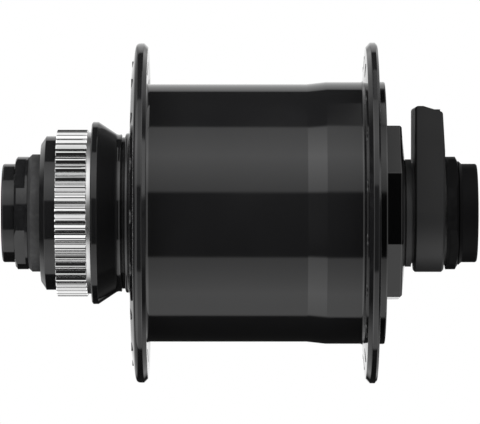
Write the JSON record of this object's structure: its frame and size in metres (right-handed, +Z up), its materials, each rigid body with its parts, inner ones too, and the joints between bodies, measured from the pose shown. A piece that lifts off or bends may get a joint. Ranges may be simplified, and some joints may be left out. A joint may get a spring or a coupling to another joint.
{
  "type": "bicycle hub dynamo",
  "caption": "Bicycle front hub with a claw-pole generator inside: a flanged shell on ball bearings round a hollow axle, with a splined brake rotor seat and a plug-in connector.",
  "frame": {"origin": "on the axle's axis, midway between the two fork faces", "axes": "+X along the axle from the brake rotor's side to the connector's side, +Z up with the connector block, +Y away from the viewer of the picture"},
  "size_m": [0.1, 0.072, 0.072],
  "materials": {
    "axle_alloy": "turned",
    "black_anodised": "glossy black anodised",
    "black_anodised_shell": "glossy black anodised, splines machined bare",
    "matt_black_anodised": "matt black anodised",
    "black_steel": "black oxide",
    "satin_black_alloy": "satin black",
    "satin_black_plastic": "satin",
    "connector_plastic": "satin moulded",
    "contact_metal": "tinned",
    "lead_copper": "enamelled",
    "plain_steel": "zinc plated",
    "bearing_steel": "ground",
    "ball_steel": "polished",
    "cage_plastic": "moulded",
    "shield_steel": "pressed",
    "soft_iron": "plated",
    "bobbin_plastic": "moulded",
    "winding_copper": "enamelled wire",
    "seal_rubber": "matte",
    "magnet": "plated"
  },
  "bodies": {
    "axle_unit": {"hollow_axle": "axle_alloy", "left_end_cap": "black_anodised", "right_end_cap": "matt_black_anodised", "left_locknut": "black_anodised", "right_locknut": "matt_black_anodised", "left_dust_cap": "satin_black_alloy", "right_dust_seal": "satin_black_plastic", "connector_housing": "connector_plastic", "connector_back_cover": "connector_plastic", "contact_blades": "contact_metal", "lead_wires": "lead_copper", "tab_washer": "black_steel", "left_inner_race": "bearing_steel", "right_inner_race": "bearing_steel", "left_spacer_sleeve": "axle_alloy", "right_spacer_ring": "axle_alloy", "stator_washer": "plain_steel", "stator_nut": "plain_steel", "left_claw_pole": "soft_iron", "right_claw_pole": "soft_iron", "stator_core": "soft_iron", "coil_bobbin": "bobbin_plastic", "coil_winding": "winding_copper"},
    "hub_body": {"hub_shell": "black_anodised_shell", "hub_lid": "black_anodised", "lid_o_ring": "seal_rubber", "back_iron_ring": "soft_iron", "magnet_segments": "magnet", "left_outer_race": "bearing_steel", "right_outer_race": "bearing_steel", "left_bearing_circlip": "plain_steel", "left_bearing_shields": "shield_steel", "right_bearing_shields": "shield_steel", "left_lip_seal": "seal_rubber", "right_lip_seal": "seal_rubber"},
    "left_ball_set": {"left_bearing_balls": "ball_steel", "left_ball_cage": "cage_plastic"},
    "right_ball_set": {"right_bearing_balls": "ball_steel", "right_ball_cage": "cage_plastic"}
  },
  "joints": [
    {"name": "shell_spin", "type": "hinge", "parent": "axle_unit", "child": "hub_body", "pos_m": [0, 0, 0], "axis": [1, 0, 0], "continuous": true},
    {"name": "left_cage_spin", "type": "hinge", "parent": "axle_unit", "child": "left_ball_set", "pos_m": [-0.0335, 0, 0], "axis": [1, 0, 0], "continuous": true},
    {"name": "right_cage_spin", "type": "hinge", "parent": "axle_unit", "child": "right_ball_set", "pos_m": [0.0294, 0, 0], "axis": [1, 0, 0], "continuous": true}
  ],
  "couplings": [
    {"joint": "left_cage_spin", "follows": "shell_spin", "ratio": 0.56488},
    {"joint": "right_cage_spin", "follows": "shell_spin", "ratio": 0.58574}
  ]
}
